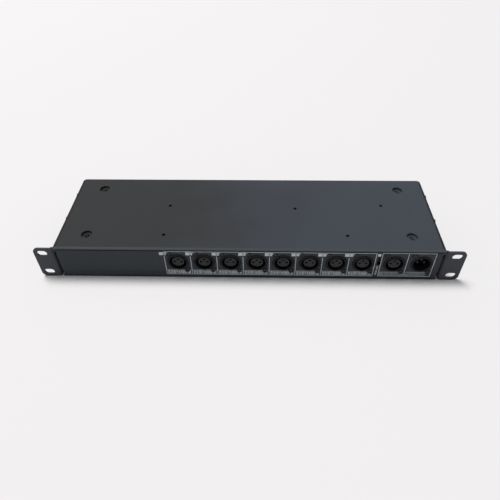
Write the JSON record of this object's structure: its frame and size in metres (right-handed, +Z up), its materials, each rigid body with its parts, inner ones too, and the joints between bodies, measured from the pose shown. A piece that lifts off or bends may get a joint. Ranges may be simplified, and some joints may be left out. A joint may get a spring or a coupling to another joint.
{
  "type": "dmx splitter",
  "caption": "Rack-mount control-signal splitter: one input, a through socket and a row of isolated output sockets in a flat one-unit steel case with slotted ears.",
  "frame": {"origin": "centre of the lid's outer face, which is the surface the unit lies on in the stored pose (underside up, as pictured)", "axes": "+X along the connector panel towards the input socket, +Y from the connector panel to the rear wall, +Z up, out of the unit's underside; a half turn about Y gives the normal way up"},
  "size_m": [0.4826, 0.1391, 0.044],
  "materials": {
    "case_paint": "satin powder coat, charcoal grey",
    "ear_paint": "satin powder coat, charcoal grey",
    "socket_plastic": "moulded, black",
    "latch_plastic": "moulded, black, handled",
    "switch_plastic": "moulded, black",
    "inlet_plastic": "moulded, black",
    "board_laminate": "solder mask, green",
    "core_steel": "varnished laminations",
    "coil_tape": "polyester tape, yellow",
    "capacitor_sleeve": "shrunk sleeve, dark blue",
    "heatsink_aluminium": "extruded, bare",
    "fuse_metal": "nickel plated caps on glass",
    "screw_steel": "black oxide",
    "screen_print": "screen-printed ink, white",
    "contact_metal": "plated contacts",
    "lead_brown": "insulation, brown",
    "lead_red": "insulation, red",
    "lead_blue": "insulation, blue",
    "lead_green": "insulation, green"
  },
  "bodies": {
    "case": {"chassis_tray": "case_paint", "lid": "case_paint", "ear_left": "ear_paint", "ear_right": "ear_paint", "output_1_housing": "socket_plastic", "output_1_insert": "socket_plastic", "output_2_housing": "socket_plastic", "output_2_insert": "socket_plastic", "output_3_housing": "socket_plastic", "output_3_insert": "socket_plastic", "output_4_housing": "socket_plastic", "output_4_insert": "socket_plastic", "output_5_housing": "socket_plastic", "output_5_insert": "socket_plastic", "output_6_housing": "socket_plastic", "output_6_insert": "socket_plastic", "output_7_housing": "socket_plastic", "output_7_insert": "socket_plastic", "output_8_housing": "socket_plastic", "output_8_insert": "socket_plastic", "thru_housing": "socket_plastic", "thru_insert": "socket_plastic", "input_housing": "socket_plastic", "input_pin_carrier": "socket_plastic", "termination_switch_body": "switch_plastic", "main_board": "board_laminate", "transformer_core": "core_steel", "transformer_coil": "coil_tape", "smoothing_capacitor": "capacitor_sleeve", "regulator_heatsink": "heatsink_aluminium", "mains_inlet": "inlet_plastic", "rocker_frame": "switch_plastic", "lid_screw_left_1": "screw_steel", "lid_screw_left_2": "screw_steel", "ear_screw_left_1": "screw_steel", "ear_screw_left_2": "screw_steel", "inlet_screw_left": "screw_steel", "lid_screw_right_1": "screw_steel", "lid_screw_right_2": "screw_steel", "ear_screw_right_1": "screw_steel", "ear_screw_right_2": "screw_steel", "inlet_screw_right": "screw_steel", "lead_live": "lead_brown", "lead_switched": "lead_red", "lead_neutral": "lead_blue", "lead_earth": "lead_green"},
    "output_1_latch": {"output_1_latch": "latch_plastic"},
    "output_2_latch": {"output_2_latch": "latch_plastic"},
    "output_3_latch": {"output_3_latch": "latch_plastic"},
    "output_4_latch": {"output_4_latch": "latch_plastic"},
    "output_5_latch": {"output_5_latch": "latch_plastic"},
    "output_6_latch": {"output_6_latch": "latch_plastic"},
    "output_7_latch": {"output_7_latch": "latch_plastic"},
    "output_8_latch": {"output_8_latch": "latch_plastic"},
    "thru_latch": {"thru_latch": "latch_plastic"},
    "termination_slider": {"termination_switch_slider": "switch_plastic"},
    "rocker": {"power_rocker": "switch_plastic"},
    "fuse_carrier": {"fuse_drawer": "inlet_plastic", "fuse": "fuse_metal"}
  },
  "joints": [
    {"name": "output_1_latch_press", "type": "slide", "parent": "case", "child": "output_1_latch", "axis": [0, 1, 0], "range_m": [0, 0.0015], "stiffness_N_per_m": 200},
    {"name": "output_2_latch_press", "type": "slide", "parent": "case", "child": "output_2_latch", "axis": [0, 1, 0], "range_m": [0, 0.0015], "stiffness_N_per_m": 200},
    {"name": "output_3_latch_press", "type": "slide", "parent": "case", "child": "output_3_latch", "axis": [0, 1, 0], "range_m": [0, 0.0015], "stiffness_N_per_m": 200},
    {"name": "output_4_latch_press", "type": "slide", "parent": "case", "child": "output_4_latch", "axis": [0, 1, 0], "range_m": [0, 0.0015], "stiffness_N_per_m": 200},
    {"name": "output_5_latch_press", "type": "slide", "parent": "case", "child": "output_5_latch", "axis": [0, 1, 0], "range_m": [0, 0.0015], "stiffness_N_per_m": 200},
    {"name": "output_6_latch_press", "type": "slide", "parent": "case", "child": "output_6_latch", "axis": [0, 1, 0], "range_m": [0, 0.0015], "stiffness_N_per_m": 200},
    {"name": "output_7_latch_press", "type": "slide", "parent": "case", "child": "output_7_latch", "axis": [0, 1, 0], "range_m": [0, 0.0015], "stiffness_N_per_m": 200},
    {"name": "output_8_latch_press", "type": "slide", "parent": "case", "child": "output_8_latch", "axis": [0, 1, 0], "range_m": [0, 0.0015], "stiffness_N_per_m": 200},
    {"name": "thru_latch_press", "type": "slide", "parent": "case", "child": "thru_latch", "axis": [0, 1, 0], "range_m": [0, 0.0015], "stiffness_N_per_m": 200},
    {"name": "termination_slide", "type": "slide", "parent": "case", "child": "termination_slider", "axis": [0, 0, -1], "range_m": [0, 0.0062]},
    {"name": "rocker_tilt", "type": "hinge", "parent": "case", "child": "rocker", "pos_m": [-0.1, 0.0656, 0.022], "axis": [1, 0, 0], "range_deg": [0, 20]},
    {"name": "fuse_drawer_slide", "type": "slide", "parent": "case", "child": "fuse_carrier", "axis": [0, 1, 0], "range_m": [0, 0.01]}
  ]
}
